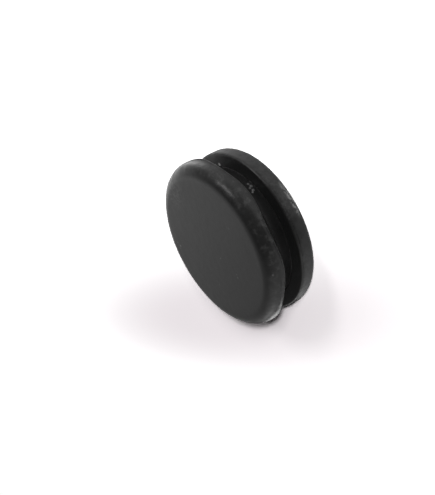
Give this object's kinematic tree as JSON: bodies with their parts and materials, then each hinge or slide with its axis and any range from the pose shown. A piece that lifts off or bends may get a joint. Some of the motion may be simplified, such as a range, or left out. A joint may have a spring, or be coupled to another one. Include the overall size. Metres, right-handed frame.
{
  "type": "closed rubber grommet",
  "caption": "Closed rubber grommet: a round moulded blanking disc with a panel groove between a thick rounded front flange and a slightly smaller rear flange, and a plain recess in its back.",
  "frame": {"origin": "centre of the panel groove, on the moulding's axis", "axes": "+Z along the moulding's axis, out of the closed front face; X and Y are any two directions across it"},
  "size_m": [0.03, 0.03, 0.01],
  "materials": {
    "rubber": "matt moulded black rubber with a fine grain, light scuffs and a little dust"
  },
  "bodies": {
    "root": {"grommet": "rubber"}
  },
  "joints": []
}
